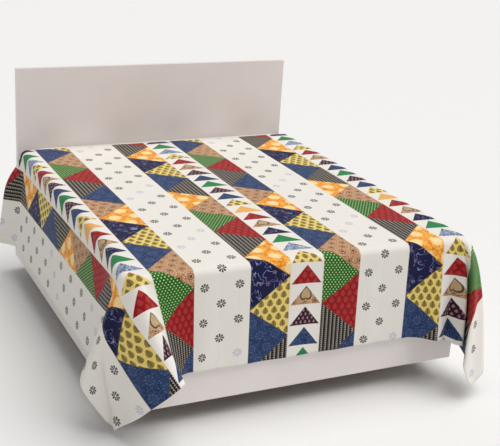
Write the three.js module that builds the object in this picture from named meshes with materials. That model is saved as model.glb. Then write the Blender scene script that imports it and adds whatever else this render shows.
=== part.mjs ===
// A patchwork bed sheet spread over a plain double bed.
//
// The sheet is one thin solid. It lies flat on the mattress, turns over the two long sides and
// the foot on a small radius, and hangs. At the two foot corners the spare cloth falls in folds.
// The bed below is plain: a mattress on a box base with four posts, and a flat headboard.
//
// Millimetres, +Z up, +Y toward the headboard, +X to the right as seen from the foot.
// Heights are above the floor. The origin is on the floor, under the middle of the whole.
import * as THREE from "three";

// ---- bed ----
const BED_WIDTH = 1636; // across the hanging cloth, side to side
const CLOTH_TOP = 700; // floor to the middle of the cloth's thickness on the bed
const MATTRESS_LENGTH = 1856;
const MATTRESS_HEIGHT = 260;
const MATTRESS_EDGE = 34; // rounding of the top and bottom edges
const MATTRESS_CORNER = 110; // rounding seen from above
const CLOTH_CLEARANCE = 3; // between the hanging cloth and the mattress
const SEAT_GAP = 0.3; // between pieces that rest on each other
const BASE_WIDTH = 1608;
const BASE_SETBACK = 20; // base front behind the hanging cloth
const BASE_UNDERSIDE = 94; // floor to the bottom edge of the base
const BOARD = 22; // thickness of the base boards
const DECK = 18;
const POST = 70; // square of the four posts under the deck
const POST_SETBACK = 300; // posts stand this far inside the base's outline
const BEAM_WIDTH = 60;
const BEAM_HEIGHT = 120;
const HEADBOARD_WIDTH = 1570;
const HEADBOARD_TOP = 1130; // floor to its top edge
const HEADBOARD_THICK = 30;

// ---- sheet ----
const SHEET_WIDTH = 2530;
const SHEET_LENGTH = 2245;
const THICKNESS = 2;
const HEM_WIDTH = 25;
const HEM_EXTRA = 1; // the doubled hem stands this much prouder on the outside
const BEND = 28; // radius of the turn over an edge
const CORNER = 40; // the corners of the bed add this much to the turn, seen from above
const CENTRE_U = 1271; // cloth under the bed's centre line, from the sheet's left hem
const FOOT_V = 1777; // cloth where it starts to turn over the foot, from the head hem
const DRAG = 46; // the foot hem hangs this much longer at the right corner, where it was pulled
const DRAG_REACH = 260; // over this length of the foot edge
const SIDE_INSET = 40; // the left edge lies this far inside the line of its foot corner
const INSET_REACH = 300; // and comes out to the corner over this length
const WING_REACH = 100; // the head end of the left drop turns out like a wing over this length
const WING_ANGLE = 62;
const WING_OPEN = 200; // drop at which the wing is fully open
const WING_DRAG = 0.1; // the wing's free edge leans toward the head, per unit of drop
const WING_ROUND = 15; // softness of the wing's ridge

// How the cloth hangs below the edge: for each unit that it drops, it moves this far to the
// right and this far to the front. Rows run round each foot corner, from the long side (0
// degrees) to the foot (90 degrees).
const LEFT_CORNER = [
  { turn: 0, right: -0.11, front: -0.11 },
  { turn: 11, right: -0.24, front: -0.25 },
  { turn: 22, right: -0.31, front: -0.12 },
  { turn: 33, right: -0.22, front: -0.08 },
  { turn: 44, right: -0.08, front: 0.01 },
  { turn: 61, right: 0.04, front: 0.4 },
  { turn: 78, right: 0.28, front: 0.67 },
  { turn: 84.5, right: 0.32, front: 0.6 },
  { turn: 90, right: 0.31, front: 0.4 },
];
const RIGHT_CORNER = [
  { turn: 0, right: 0.07, front: -0.24 },
  { turn: 6, right: 0.1, front: -0.2 },
  { turn: 17, right: 0.11, front: -0.12 },
  { turn: 27, right: 0.04, front: -0.02 },
  { turn: 35, right: 0.13, front: 0.1 },
  { turn: 40, right: 0.1, front: 0.2 },
  { turn: 43.5, right: 0.05, front: 0.29 },
  { turn: 47, right: -0.06, front: 0.3 },
  { turn: 52, right: -0.16, front: 0.37 },
  { turn: 58, right: -0.19, front: 0.36 },
  { turn: 62, right: -0.15, front: 0.32 },
  { turn: 65, right: -0.08, front: 0.26 },
  { turn: 70, right: 0.02, front: 0.06 },
  { turn: 76, right: 0.0, front: 0.05 },
  { turn: 82, right: 0.0, front: 0.193 },
  { turn: 90, right: -0.06, front: 0.03 },
];
// The same along the straight edges, by the distance from the corner.
const LEFT_FOOT = [
  { away: 0, right: 0.285, front: 0.4 },
  { away: 43, right: 0.205, front: 0.15 },
  { away: 85, right: 0.145, front: 0.07 },
  { away: 171, right: 0.055, front: 0.0 },
  { away: 261, right: -0.015, front: 0.0 },
  { away: 450, right: 0.0, front: 0.0 },
];
const RIGHT_FOOT = [
  { away: 0, right: -0.06, front: 0.03 },
  { away: 77, right: -0.045, front: 0.14 },
  { away: 150, right: -0.005, front: 0.06 },
  { away: 230, right: 0.025, front: 0.0 },
];
const LEFT_SIDE = [
  { away: 0, right: -0.11, front: -0.11 },
  { away: 70, right: -0.02, front: -0.03 },
  { away: 150, right: -0.08, front: -0.02 },
  { away: 300, right: -0.12, front: 0.0 },
  { away: 500, right: -0.12, front: 0.0 },
];
const RIGHT_SIDE = [
  { away: 0, right: 0.07, front: -0.24 },
  { away: 75, right: 0.065, front: -0.1 },
  { away: 150, right: 0.07, front: -0.05 },
  { away: 300, right: 0.07, front: 0.0 },
];
// Near the middle of its drop the cloth of the left corner bows to the left by this much. The
// cloth of the right corner is fuller: it turns over on a wider bend and bows to the right.
const BOW_DROP = 560;
const LEFT_FULLNESS = [
  { turn: 0, bow: 0 },
  { turn: 22, bow: 0 },
  { turn: 44, bow: -28 },
  { turn: 60, bow: -28 },
  { turn: 75, bow: -23 },
  { turn: 90, bow: 0 },
];
const RIGHT_FULLNESS = [
  { turn: 0, bend: BEND, bow: 0 },
  { turn: 17, bend: 34, bow: 0 },
  { turn: 27, bend: 46, bow: 10 },
  { turn: 35, bend: 58, bow: 24 },
  { turn: 48, bend: 66, bow: 30 },
  { turn: 59, bend: 62, bow: 34 },
  { turn: 65, bend: 55, bow: 36 },
  { turn: 73, bend: 46, bow: 34 },
  { turn: 82, bend: 36, bow: 34 },
  { turn: 90, bend: BEND, bow: 12 },
];
const RIGHT_FOOT_FULLNESS = [
  { away: 0, bow: 12 },
  { away: 90, bow: 0 },
];

// Grid lines of the cloth: each row is a stretch that ends at "to" and is cut in "steps".
const LEFT_TANGENT = CENTRE_U - (BED_WIDTH / 2 - BEND);
const RIGHT_TANGENT = CENTRE_U + (BED_WIDTH / 2 - BEND);
const TURN_LENGTH = (Math.PI * BEND) / 2;
const GRID_ACROSS = [
  { to: HEM_WIDTH, steps: 1 },
  { to: HEM_WIDTH + 2, steps: 1 },
  { to: LEFT_TANGENT - TURN_LENGTH, steps: 11 },
  { to: LEFT_TANGENT + SIDE_INSET + 4, steps: 8 },
  { to: LEFT_TANGENT + CORNER + 261, steps: 8 },
  { to: RIGHT_TANGENT - CORNER - 230, steps: 3 },
  { to: RIGHT_TANGENT - CORNER, steps: 6 },
  { to: RIGHT_TANGENT, steps: 2 },
  { to: RIGHT_TANGENT + TURN_LENGTH, steps: 4 },
  { to: SHEET_WIDTH - HEM_WIDTH - 2, steps: 16 },
  { to: SHEET_WIDTH - HEM_WIDTH, steps: 1 },
  { to: SHEET_WIDTH, steps: 1 },
];
const GRID_ALONG = [
  { to: HEM_WIDTH, steps: 1 },
  { to: HEM_WIDTH + 2, steps: 1 },
  { to: WING_REACH - 22, steps: 2 },
  { to: WING_REACH, steps: 2 },
  { to: FOOT_V - CORNER - 500, steps: 2 },
  { to: FOOT_V - CORNER, steps: 8 },
  { to: FOOT_V, steps: 2 },
  { to: FOOT_V + TURN_LENGTH, steps: 4 },
  { to: SHEET_LENGTH - HEM_WIDTH - 2, steps: 14 },
  { to: SHEET_LENGTH - HEM_WIDTH, steps: 1 },
  { to: SHEET_LENGTH, steps: 1 },
];

const { clamp, smoothstep } = THREE.MathUtils;

// The slope of a column at row i, through its neighbours.
function rowSlope(rows, key, column, i) {
  const last = rows.length - 1;
  const before = rows[Math.max(i - 1, 0)];
  const here = rows[i];
  const after = rows[Math.min(i + 1, last)];
  const h0 = here[key] - before[key];
  const h1 = after[key] - here[key];
  if (h0 === 0) return (after[column] - here[column]) / h1;
  if (h1 === 0) return (here[column] - before[column]) / h0;
  const rise0 = (here[column] - before[column]) / h0;
  const rise1 = (after[column] - here[column]) / h1;
  return (rise0 * h1 + rise1 * h0) / (h0 + h1);
}

// A smooth curve through one column of a table.
function along(rows, key, column, at) {
  const last = rows.length - 1;
  const x = clamp(at, rows[0][key], rows[last][key]);
  let i = 0;
  while (i < last - 1 && x >= rows[i + 1][key]) i += 1;
  const h = rows[i + 1][key] - rows[i][key];
  const s = (x - rows[i][key]) / h;
  const m0 = rowSlope(rows, key, column, i) * h;
  const m1 = rowSlope(rows, key, column, i + 1) * h;
  const y0 = rows[i][column];
  const y1 = rows[i + 1][column];
  const rise = (3 - 2 * s) * s * s;
  return y0 + (y1 - y0) * rise + m0 * s * (1 - s) ** 2 - m1 * s * s * (1 - s);
}

function lean(rows, key, at) {
  return {
    right: along(rows, key, "right", at),
    front: along(rows, key, "front", at),
    bend: BEND,
    bow: 0,
  };
}

// How the cloth hangs at a place past the edge: "past" and "beyond" are its distances from the
// centre of the corner's rounding, toward the side and toward the foot.
function hang(left, u, past, beyond) {
  if (past > 0 && beyond > 0) {
    const turn = THREE.MathUtils.radToDeg(Math.atan2(beyond, past));
    const slope = lean(left ? LEFT_CORNER : RIGHT_CORNER, "turn", turn);
    if (left) slope.bow = along(LEFT_FULLNESS, "turn", "bow", turn);
    if (left) return slope;
    slope.bend = along(RIGHT_FULLNESS, "turn", "bend", turn);
    slope.bow = along(RIGHT_FULLNESS, "turn", "bow", turn);
    return slope;
  }
  if (beyond > 0) {
    const near = lean(LEFT_FOOT, "away", u - (LEFT_TANGENT + CORNER));
    const toRight = RIGHT_TANGENT - CORNER - u;
    const far = lean(RIGHT_FOOT, "away", toRight);
    const bow = along(RIGHT_FOOT_FULLNESS, "away", "bow", toRight);
    return { right: near.right + far.right, front: near.front + far.front, bend: BEND, bow };
  }
  const side = lean(left ? LEFT_SIDE : RIGHT_SIDE, "away", -beyond);
  return { right: side.right, front: side.front, bend: BEND, bow: 0 };
}

// The middle of the cloth's thickness at u from its left hem and v from its head hem. On the
// bed it is flat. Past the edge it goes straight out from there, turns down on BEND and then
// hangs straight, leaning as the tables say.
function clothPoint(u, v) {
  const left = u < CENTRE_U;
  const beyond = v - (FOOT_V - CORNER);
  const inset = left ? SIDE_INSET * smoothstep(-beyond / INSET_REACH, 0, 1) : 0;
  const past = left ? LEFT_TANGENT + CORNER + inset - u : u - (RIGHT_TANGENT - CORNER);
  const outX = Math.max(past, 0);
  const outY = Math.max(beyond, 0);
  const reach = Math.hypot(outX, outY);
  const side = left ? -1 : 1;
  const edgeX = side * (BED_WIDTH / 2 - BEND - CORNER) + inset;
  const centreX = past > 0 ? edgeX : u - CENTRE_U;
  const centreY = BEND + CORNER - Math.min(beyond, 0);
  const point = new THREE.Vector3(centreX, centreY, 0);
  if (reach === 0) return point;
  const outward = new THREE.Vector3((side * outX) / reach, -outY / reach, 0);
  point.addScaledVector(outward, Math.min(reach, CORNER));
  const over = reach - CORNER;
  if (over <= 0) return point;
  const slope = hang(left, u, past, beyond);
  const down = new THREE.Vector3(slope.right, -slope.front, -1).normalize();
  const cosine = outward.dot(down);
  const square = down.clone().addScaledVector(outward, -cosine).normalize();
  const whole = Math.acos(cosine);
  const arc = (Math.PI / 2) * slope.bend;
  const turned = whole * clamp(over / arc, 0, 1);
  const radius = arc / whole;
  point.addScaledVector(outward, radius * Math.sin(turned));
  point.addScaledVector(square, radius * (1 - Math.cos(turned)));
  const drop = Math.max(over - arc, 0);
  point.x += slope.bow * Math.sin(Math.PI * Math.min(drop / BOW_DROP, 1) ** 0.7);
  if (left && past > 0 && v < WING_REACH) openWing(point, WING_REACH - v, drop);
  return point.addScaledVector(down, drop);
}

// Turns the head end of the left drop outward about an upright ridge.
function openWing(point, fromRidge, drop) {
  const reach = fromRidge ** 2 / (fromRidge + WING_ROUND);
  const turn = THREE.MathUtils.degToRad(WING_ANGLE) * smoothstep(drop / WING_OPEN, 0, 1);
  point.x -= reach * Math.sin(turn);
  point.y += reach * ((WING_DRAG / WING_REACH) * drop - 1 + Math.cos(turn));
}

// The outside of the cloth at u, v.
function clothNormal(u, v) {
  const step = 0.5;
  const du = clothPoint(u + step, v).sub(clothPoint(u - step, v));
  const dv = clothPoint(u, v + step).sub(clothPoint(u, v - step));
  return dv.cross(du).normalize();
}

function gridLines(stretches) {
  const lines = [0];
  for (const { to, steps } of stretches) {
    const from = lines[lines.length - 1];
    for (let i = 1; i <= steps; i += 1) lines.push(from + ((to - from) * i) / steps);
  }
  return lines;
}

// The foot drop is longer toward the right corner.
function dragged(u, v) {
  const longer = DRAG * clamp((u - RIGHT_TANGENT + DRAG_REACH) / DRAG_REACH, 0, 1) ** 2;
  const start = FOOT_V + TURN_LENGTH;
  return v + longer * clamp((v - start) / (SHEET_LENGTH - HEM_WIDTH - 2 - start), 0, 1);
}

// One closed solid: an outer and an inner skin joined round the hem.
function sheetGeometry() {
  const across = gridLines(GRID_ACROSS);
  const alongBed = gridLines(GRID_ALONG);
  const columns = across.length;
  const rows = alongBed.length;
  const outer = [];
  const inner = [];
  for (const v of alongBed) {
    for (const u of across) {
      const reached = dragged(u, v);
      const middle = clothPoint(u, reached);
      const normal = clothNormal(u, reached);
      const inset = Math.min(u, v, SHEET_WIDTH - u, SHEET_LENGTH - v);
      const hem = inset < HEM_WIDTH + 1 ? HEM_EXTRA : 0;
      const top = middle.clone().addScaledVector(normal, THICKNESS / 2 + hem);
      const under = middle.clone().addScaledVector(normal, -THICKNESS / 2);
      outer.push(top.x, top.y, top.z);
      inner.push(under.x, under.y, under.z);
    }
  }
  const count = columns * rows;
  const faces = [];
  const quad = (a, b, c, d) => faces.push(a, b, c, a, c, d);
  for (let j = 0; j < rows - 1; j += 1) {
    for (let i = 0; i < columns - 1; i += 1) {
      const a = j * columns + i;
      const b = a + 1;
      const c = b + columns;
      const d = a + columns;
      quad(a, d, c, b);
      quad(count + a, count + b, count + c, count + d);
    }
  }
  for (let i = 0; i < columns - 1; i += 1) {
    const head = i;
    const foot = (rows - 1) * columns + i;
    quad(head, head + 1, count + head + 1, count + head);
    quad(foot + 1, foot, count + foot, count + foot + 1);
  }
  for (let j = 0; j < rows - 1; j += 1) {
    const left = j * columns;
    const right = left + columns - 1;
    quad(left + columns, left, count + left, count + left + columns);
    quad(right, right + columns, count + right + columns, count + right);
  }
  const geometry = new THREE.BufferGeometry();
  const positions = new Float32Array([...outer, ...inner]);
  geometry.setAttribute("position", new THREE.BufferAttribute(positions, 3));
  geometry.setIndex(faces);
  geometry.computeVertexNormals();
  return geometry;
}

function mattressGeometry(width) {
  const x = width / 2;
  const y = MATTRESS_LENGTH;
  const r = MATTRESS_CORNER;
  const outline = new THREE.Shape();
  outline.moveTo(-x + r, 0);
  outline.lineTo(x - r, 0);
  outline.absarc(x - r, r, r, -Math.PI / 2, 0);
  outline.lineTo(x, y - r);
  outline.absarc(x - r, y - r, r, 0, Math.PI / 2);
  outline.lineTo(-x + r, y);
  outline.absarc(-x + r, y - r, r, Math.PI / 2, Math.PI);
  outline.lineTo(-x, r);
  outline.absarc(-x + r, r, r, Math.PI, Math.PI * 1.5);
  return new THREE.ExtrudeGeometry(outline, {
    depth: MATTRESS_HEIGHT - 2 * MATTRESS_EDGE,
    bevelThickness: MATTRESS_EDGE,
    bevelSize: MATTRESS_EDGE,
    bevelOffset: -MATTRESS_EDGE,
    bevelSegments: 4,
    curveSegments: 6,
  });
}

const cotton = new THREE.MeshStandardMaterial({ color: 0xd8d4cf, roughness: 0.9 });
const ticking = new THREE.MeshStandardMaterial({ color: 0xece8e4, roughness: 0.95 });
const paint = new THREE.MeshStandardMaterial({ color: 0xe3d9db, roughness: 0.6 });
const timber = new THREE.MeshStandardMaterial({ color: 0xb99f80, roughness: 0.7 });

const bed = new THREE.Group();

function addMesh(name, geometry, material, x, y, z) {
  const mesh = new THREE.Mesh(geometry, material);
  mesh.name = name;
  mesh.position.set(x, y, z);
  bed.add(mesh);
}

// A board or block by its near left bottom corner and its size.
function addBlock(name, material, corner, size) {
  const geometry = new THREE.BoxGeometry(size.x, size.y, size.z);
  const centre = corner.clone().addScaledVector(size, 0.5);
  addMesh(name, geometry, material, centre.x, centre.y, centre.z);
}

const at = (x, y, z) => new THREE.Vector3(x, y, z);

addMesh("sheet", sheetGeometry(), cotton, 0, 0, CLOTH_TOP);

// mattress, just under the cloth and clear of its drops
const mattressTop = CLOTH_TOP - THICKNESS / 2 - SEAT_GAP;
const mattressBottom = mattressTop - MATTRESS_HEIGHT;
const mattressInset = THICKNESS / 2 + CLOTH_CLEARANCE;
const mattressWidth = BED_WIDTH - 2 * mattressInset - SIDE_INSET;
addMesh(
  "mattress",
  mattressGeometry(mattressWidth),
  ticking,
  SIDE_INSET / 2,
  mattressInset,
  mattressBottom + MATTRESS_EDGE,
);

// base: a deck on four boards, a middle beam and four posts
const baseFront = BASE_SETBACK;
const baseBack = mattressInset + MATTRESS_LENGTH;
const baseLength = baseBack - baseFront;
const deckBottom = mattressBottom - SEAT_GAP - DECK;
const boardTop = deckBottom - SEAT_GAP;
const boardHeight = boardTop - BASE_UNDERSIDE;
const halfBase = BASE_WIDTH / 2;
const sideLength = baseLength - 2 * (BOARD + SEAT_GAP);
const insideFront = baseFront + BOARD + SEAT_GAP;
const postX = halfBase - POST_SETBACK;
const postFront = baseFront + POST_SETBACK;
const postBack = baseBack - POST_SETBACK - POST;
addBlock("deck", timber, at(-halfBase, baseFront, deckBottom), at(BASE_WIDTH, baseLength, DECK));
addBlock(
  "base_front",
  paint,
  at(-halfBase, baseFront, BASE_UNDERSIDE),
  at(BASE_WIDTH, BOARD, boardHeight),
);
addBlock(
  "base_back",
  paint,
  at(-halfBase, baseBack - BOARD, BASE_UNDERSIDE),
  at(BASE_WIDTH, BOARD, boardHeight),
);
for (const [name, x] of [
  ["base_left", -halfBase],
  ["base_right", halfBase - BOARD],
]) {
  addBlock(name, paint, at(x, insideFront, BASE_UNDERSIDE), at(BOARD, sideLength, boardHeight));
}
addBlock(
  "middle_beam",
  timber,
  at(-BEAM_WIDTH / 2, insideFront, boardTop - BEAM_HEIGHT),
  at(BEAM_WIDTH, sideLength, BEAM_HEIGHT),
);
for (const [name, x, y] of [
  ["post_front_left", -postX, postFront],
  ["post_front_right", postX - POST, postFront],
  ["post_back_left", -postX, postBack],
  ["post_back_right", postX - POST, postBack],
]) {
  addBlock(name, timber, at(x, y, 0), at(POST, POST, boardTop));
}

// headboard, a flat slab against the back of the base
addBlock(
  "headboard",
  paint,
  at(-HEADBOARD_WIDTH / 2, baseBack + SEAT_GAP, BASE_UNDERSIDE),
  at(HEADBOARD_WIDTH, HEADBOARD_THICK, HEADBOARD_TOP - BASE_UNDERSIDE),
);

// the origin goes under the middle of the whole
const box = new THREE.Box3().setFromObject(bed);
const middle = box.getCenter(new THREE.Vector3());
bed.position.set(-middle.x, -middle.y, 0);

export default bed;
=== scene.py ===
"""A patchwork bed sheet spread over a plain double bed, as a Blender scene.

Metres, +Z up, +Y toward the headboard, +X to the right as seen from the foot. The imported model
gives every piece its place. The cloth and the mattress are surfaces of two parameters, and all
prints and finishes are worked out by nodes.
"""

import math

import bpy
import numpy as np
from mathutils import Matrix, Vector


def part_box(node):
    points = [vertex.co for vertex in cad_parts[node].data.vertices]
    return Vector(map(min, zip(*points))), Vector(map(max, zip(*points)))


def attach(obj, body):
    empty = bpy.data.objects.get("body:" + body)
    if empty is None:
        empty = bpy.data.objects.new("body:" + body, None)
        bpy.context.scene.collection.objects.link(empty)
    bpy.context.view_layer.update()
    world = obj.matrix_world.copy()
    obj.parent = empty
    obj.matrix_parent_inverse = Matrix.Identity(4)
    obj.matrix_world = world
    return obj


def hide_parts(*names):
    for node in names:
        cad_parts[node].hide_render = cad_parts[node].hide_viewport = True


bl_info = {
    "name": "Patchwork Bed Sheet",
    "version": (1, 0, 0),
    "blender": (4, 5, 0),
    "location": "View3D > Sidebar > Bed Sheet",
    "description": "Makes a patchwork bed sheet draped over a plain double bed",
    "category": "Add Mesh",
}

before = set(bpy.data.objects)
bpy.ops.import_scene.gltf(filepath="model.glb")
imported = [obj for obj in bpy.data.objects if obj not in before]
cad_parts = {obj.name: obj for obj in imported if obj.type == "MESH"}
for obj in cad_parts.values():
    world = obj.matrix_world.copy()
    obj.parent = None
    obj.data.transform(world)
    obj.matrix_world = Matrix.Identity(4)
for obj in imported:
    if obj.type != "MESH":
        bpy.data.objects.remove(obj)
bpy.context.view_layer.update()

MATTRESS_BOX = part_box("mattress")
CLOTH_OVER = 0.0013  # middle of the cloth above the mattress
CLOTH_BEFORE = 0.004  # middle of the hanging cloth before the mattress
BASE_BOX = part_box("base_front")
BED_CENTRE = (BASE_BOX[0].x + BASE_BOX[1].x) / 2
# The cloth's own origin: bed's centre line, foot plane of the hanging cloth, top of the bed.
CLOTH_ORIGIN = Vector(
    (BED_CENTRE, MATTRESS_BOX[0].y - CLOTH_BEFORE, MATTRESS_BOX[1].z + CLOTH_OVER)
)

# ---- the cloth's cut and how it hangs ----
SHEET_WIDTH = 2.530
SHEET_LENGTH = 2.245
BED_WIDTH = 1.636  # across the hanging cloth
HEM = 0.025
BEND = 0.028  # radius of the turn over an edge
CORNER = 0.040  # the corners of the bed add this to the turn, seen from above
CENTRE_U = 1.271  # cloth over the bed's centre line, from the left hem
FOOT_V = 1.777  # cloth where it starts to turn over the foot, from the head hem
TAIL_CREASE = (0.192, 1.955)  # where the left tail's crease starts, across and along the cut
TAIL_CREASE_WAY = (-0.575, 0.818)  # and which way it runs
TAIL_CREASE_DEPTH = 0.017
TAIL_CREASE_WIDTH = 0.013
TAIL_CREASE_FADE = 0.10  # length over which it comes in
DRAG = 0.046  # spare cloth pulled down at the right foot corner
DRAG_ACROSS = 0.260  # and how far from the corner it slides, across and along
DRAG_ALONG = 0.500
SIDE_INSET = 0.040  # the left edge lies this far inside the line of its foot corner
INSET_REACH = 0.300  # and comes out to the corner over this length
WING_REACH = 0.100  # the head end of the left drop turns out like a wing over this length
WING_ANGLE = 62.0  # degrees it is turned out
WING_OPEN = 0.200  # drop at which the wing is fully open
WING_DRAG = 0.10  # the wing's free edge leans this far toward the head, for each unit of drop
WING_ROUND = 0.015  # softness of the wing's ridge
BOW_DROP = 0.560  # drop over which the fuller cloth bows out and comes back
WAVES_GROW = 0.30  # drop over which the hanging cloth's waves reach their full depth
SIDE_WAVE = 0.33  # and their lengths, along the side and along the foot
FOOT_WAVE = 0.19
LEFT_TANGENT = CENTRE_U - (BED_WIDTH / 2 - BEND)
RIGHT_TANGENT = CENTRE_U + (BED_WIDTH / 2 - BEND)
TURN = math.pi / 2 * BEND

# How the cloth hangs below the edge: for each unit that it drops, it moves this far to the right
# and this far to the front. Rows go round each foot corner, from the long side, 0 degrees, to
# the foot, 90 degrees: (turn, right, front).
LEFT_CORNER = (
    (0, -0.11, -0.11),
    (11, -0.24, -0.25),
    (22, -0.31, -0.12),
    (33, -0.22, -0.08),
    (44, -0.08, 0.01),
    (61, 0.04, 0.40),
    (78, 0.28, 0.67),
    (84.5, 0.32, 0.60),
    (90, 0.31, 0.40),
)
RIGHT_CORNER = (
    (0, 0.07, -0.24),
    (6, 0.10, -0.20),
    (17, 0.11, -0.12),
    (27, 0.04, -0.02),
    (35, 0.13, 0.10),
    (40, 0.10, 0.20),
    (43.5, 0.05, 0.29),
    (47, -0.06, 0.30),
    (52, -0.16, 0.37),
    (58, -0.19, 0.36),
    (62, -0.15, 0.32),
    (65, -0.08, 0.26),
    (70, 0.02, 0.06),
    (76, 0.00, 0.05),
    (82, 0.00, 0.193),
    (90, -0.06, 0.03),
)
# The same along the straight edges, by the distance from the corner: (away, right, front).
LEFT_FOOT = (
    (0, 0.285, 0.40),
    (0.043, 0.205, 0.15),
    (0.085, 0.145, 0.07),
    (0.171, 0.055, 0),
    (0.261, -0.015, 0),
    (0.450, 0, 0),
)
RIGHT_FOOT = ((0, -0.06, 0.03), (0.077, -0.045, 0.14), (0.150, -0.005, 0.06), (0.230, 0.025, 0))
LEFT_SIDE = (
    (0, -0.11, -0.11),
    (0.070, -0.02, -0.03),
    (0.150, -0.08, -0.02),
    (0.300, -0.12, 0),
    (0.500, -0.12, 0),
)
RIGHT_SIDE = ((0, 0.07, -0.24), (0.075, 0.065, -0.10), (0.150, 0.07, -0.05), (0.300, 0.07, 0))
# The left corner's cloth bows out between its edge and its hem: (turn, bow).
LEFT_FULLNESS = ((0, 0), (22, 0), (44, -0.028), (60, -0.028), (75, -0.023), (90, 0))
# The fuller cloth of the right corner: (turn, bend, bow), and along the foot: (away, bow).
RIGHT_FULLNESS = (
    (0, 0.028, 0),
    (17, 0.034, 0),
    (27, 0.046, 0.010),
    (35, 0.058, 0.024),
    (48, 0.066, 0.030),
    (59, 0.062, 0.034),
    (65, 0.055, 0.036),
    (73, 0.046, 0.034),
    (82, 0.036, 0.034),
    (90, 0.028, 0.012),
)
RIGHT_FOOT_FULLNESS = ((0, 0.012), (0.090, 0))

# ---- the print ----
# Widths of the thirteen bands from the left hem: margin, then three times a zigzag, a column of
# flying geese and a zigzag, with a white band between them, and the other margin.
BANDS = (0.250, 0.165, 0.150, 0.179, 0.248, 0.184, 0.157, 0.179, 0.248, 0.184, 0.157, 0.179, 0.250)
# How far the print runs short of its place at the foot edge and at the foot hem, by distance
# from the left hem.
PRINT_SLIP = (
    (0, 0, -0.012),
    (0.25, 0, -0.018),
    (0.42, -0.014, -0.012),
    (0.75, 0.002, 0.024),
    (1.00, 0.002, 0.024),
    (1.25, 0.002, 0.018),
    (1.50, -0.020, -0.008),
    (1.75, -0.024, -0.022),
    (2.05, -0.020, -0.012),
    (2.53, -0.010, 0),
)
PRINT_SLIP_START = 0.6  # from the head hem, where the print starts to slip
GOOSE_PITCH = 0.099
GOOSE_START = 0.35  # the first goose's base, in pitches from the head hem
GOOSE_HEIGHT = 0.88  # of its pitch
GOOSE_HALF_WIDTH = 0.465  # of its column
GEESE_COLUMN = 0.150  # width that the spade leaf is drawn for
REPEAT = 15  # geese in one repeat of the print
# The zigzag's corners on a band's left and right edges, in goose pitches.
ZIGZAG_LEFT = (-1, 2.2, 5.0, 8.15, 11.0, 14.0)
ZIGZAG_RIGHT = (0.5, 3.56, 6.4, 9.5, 12.5, 15.5)
SPADE_GEESE = (5, 14)  # the tan geese, which have a spade leaf
SPADE_MIDDLE = 0.059  # from a goose's base to the middle of its spade leaf
SPADE_HALF_WIDTH = 0.0255
SPADE_HEIGHT = 0.0285  # over its middle
WHITE_BAND = 0.248  # width that the daisies are drawn for
DAISY_RADIUS = 0.0205
DAISY_PITCH = 1.647  # in goose pitches
DAISY_START = 1.34  # a middle daisy's place, in goose pitches
OUTER_DAISY_START = 0.82  # how much later the outer ones come
DAISY_MIDDLE = 0.497  # the middle column's place in the band
DAISY_COLUMNS = 0.311  # from the middle column to the outer ones, of the band's width
DAISY_SPLIT = 0.155  # and where a daisy starts to belong to an outer column
LILAC_DAISIES = (4, 8)  # of every nine
FABRICS = (
    "white blue navy tan green red yellow orange stripes maroon dotted grey plain".split()
)
# Fabrics of the patches, from the head.
ZIGZAG_BEFORE = (
    "red stripes orange navy yellow blue stripes orange tan green red stripes".split()
)
ZIGZAG_AFTER = "yellow blue tan green red stripes blue tan orange navy yellow blue".split()
GEESE = (
    "navy plain grey yellow red tan maroon blue plain maroon blue yellow dotted red tan".split()
)


def linear(text):
    """The linear colour of a six-digit hexadecimal sRGB colour."""
    parts = np.array([int(text[i : i + 2], 16) for i in (0, 2, 4)]) / 255
    return tuple(np.where(parts <= 0.04045, parts / 12.92, ((parts + 0.055) / 1.055) ** 2.4))


# ---------------------------------------------------------------- shapes
def ease(s):
    """0 to 1 with level ends, as s goes from 0 to 1."""
    s = np.clip(s, 0, 1)
    return (3 - 2 * s) * s * s


def smooth_column(rows, column, at):
    """A smooth curve through one column of a table.

    Between two rows it is the cubic that meets both values and the slopes there, and each
    slope is that of the parabola through the row and its neighbours. Outside the table it
    keeps the end value.
    """
    table = np.array(rows, float)
    key, value = table[:, 0], table[:, column]
    slopes = np.gradient(value, key)
    x = np.clip(at, key[0], key[-1])
    i = np.clip(np.searchsorted(key, x, side="right") - 1, 0, len(key) - 2)
    h = key[i + 1] - key[i]
    s = (x - key[i]) / h
    return (
        value[i]
        + (value[i + 1] - value[i]) * ease(s)
        + slopes[i] * h * s * (1 - s) ** 2
        - slopes[i + 1] * h * s * s * (1 - s)
    )


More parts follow.
